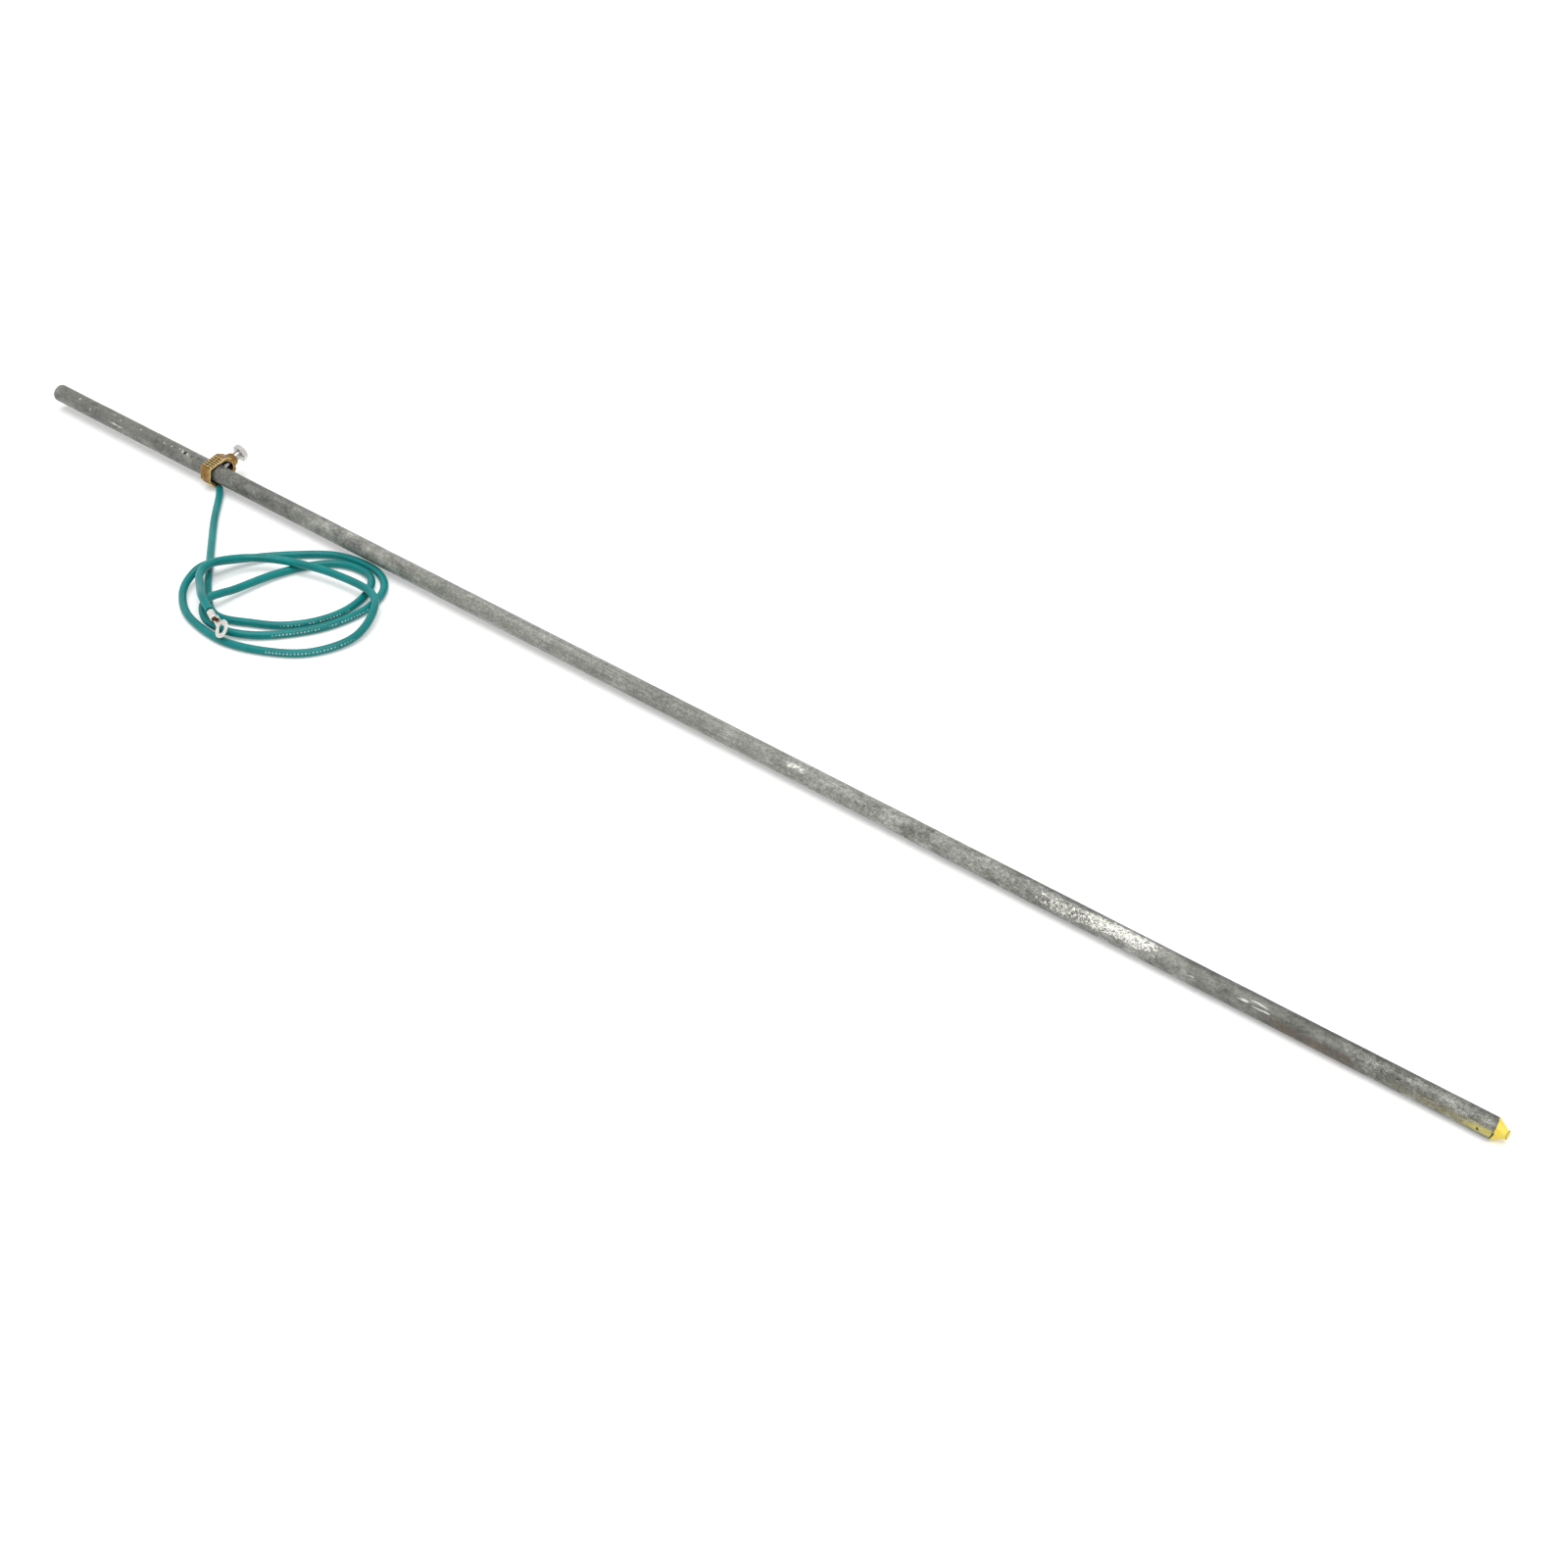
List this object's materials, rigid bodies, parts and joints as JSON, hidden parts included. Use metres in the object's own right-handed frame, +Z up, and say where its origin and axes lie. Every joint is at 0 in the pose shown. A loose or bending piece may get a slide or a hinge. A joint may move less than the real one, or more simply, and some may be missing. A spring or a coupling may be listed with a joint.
{
  "type": "earth rod",
  "caption": "Thin galvanised earth rod with a painted point and a cast bronze clamp near its driven end, which holds a coiled insulated earth wire with a ring terminal.",
  "frame": {"origin": "middle of the bottom of the box round the rod and its clamp, on the floor that they lie on", "axes": "+X along the rod towards its point, +Z up, the coil of wire on the -Y side"},
  "size_m": [1.219, 0.1626, 0.023],
  "materials": {
    "zinc": "hot-dip galvanised, mottled and rubbed, with a yellow painted point",
    "bronze": "cast, with rubbed bright edges",
    "plated_steel": "bright plated",
    "copper": "bare stranded copper",
    "insulation": "smooth satin plastic",
    "tinned_copper": "tin-plated, satin"
  },
  "bodies": {
    "rod_and_clamp": {"rod": "zinc", "clamp_body": "bronze", "conductor": "copper", "insulation": "insulation", "ring_terminal": "tinned_copper"},
    "bolt": {"clamp_bolt": "plated_steel"}
  },
  "joints": [
    {"name": "clamp_bolt_turn", "type": "hinge", "parent": "rod_and_clamp", "child": "bolt", "pos_m": [-0.4275, -0.00863, 0.0112], "axis": [0.0011, 0.9703, 0.2419], "range_deg": [0, 1350]}
  ]
}
